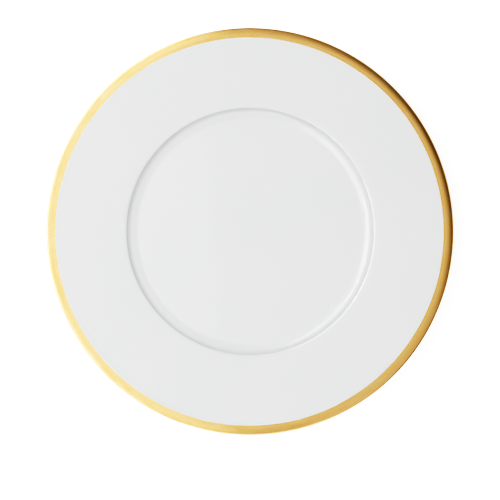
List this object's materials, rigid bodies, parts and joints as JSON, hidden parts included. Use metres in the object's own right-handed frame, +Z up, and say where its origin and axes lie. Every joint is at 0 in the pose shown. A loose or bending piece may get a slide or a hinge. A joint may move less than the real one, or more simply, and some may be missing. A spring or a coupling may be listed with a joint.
{
  "type": "dinner plate",
  "caption": "Round wide-rim porcelain dinner plate with a stepped well, turned foot and gilded lip; stands on its foot and holds food or a smaller plate.",
  "frame": {"origin": "centre of the plate, in the plane that the foot stands on", "axes": "+Z up along the plate's turning axis, out of the well; X and Y are equivalent"},
  "size_m": [0.31, 0.31, 0.0193],
  "materials": {
    "china": "bare fired porcelain, matt, seen only where the foot stands",
    "glaze": "clear gloss glaze over cool white porcelain",
    "gold": "fired gold, brushed round the lip to a satin shine"
  },
  "bodies": {
    "root": {"china_body": "china", "glaze_coat": "glaze", "base_glaze": "glaze", "gold_band": "gold"}
  },
  "joints": []
}
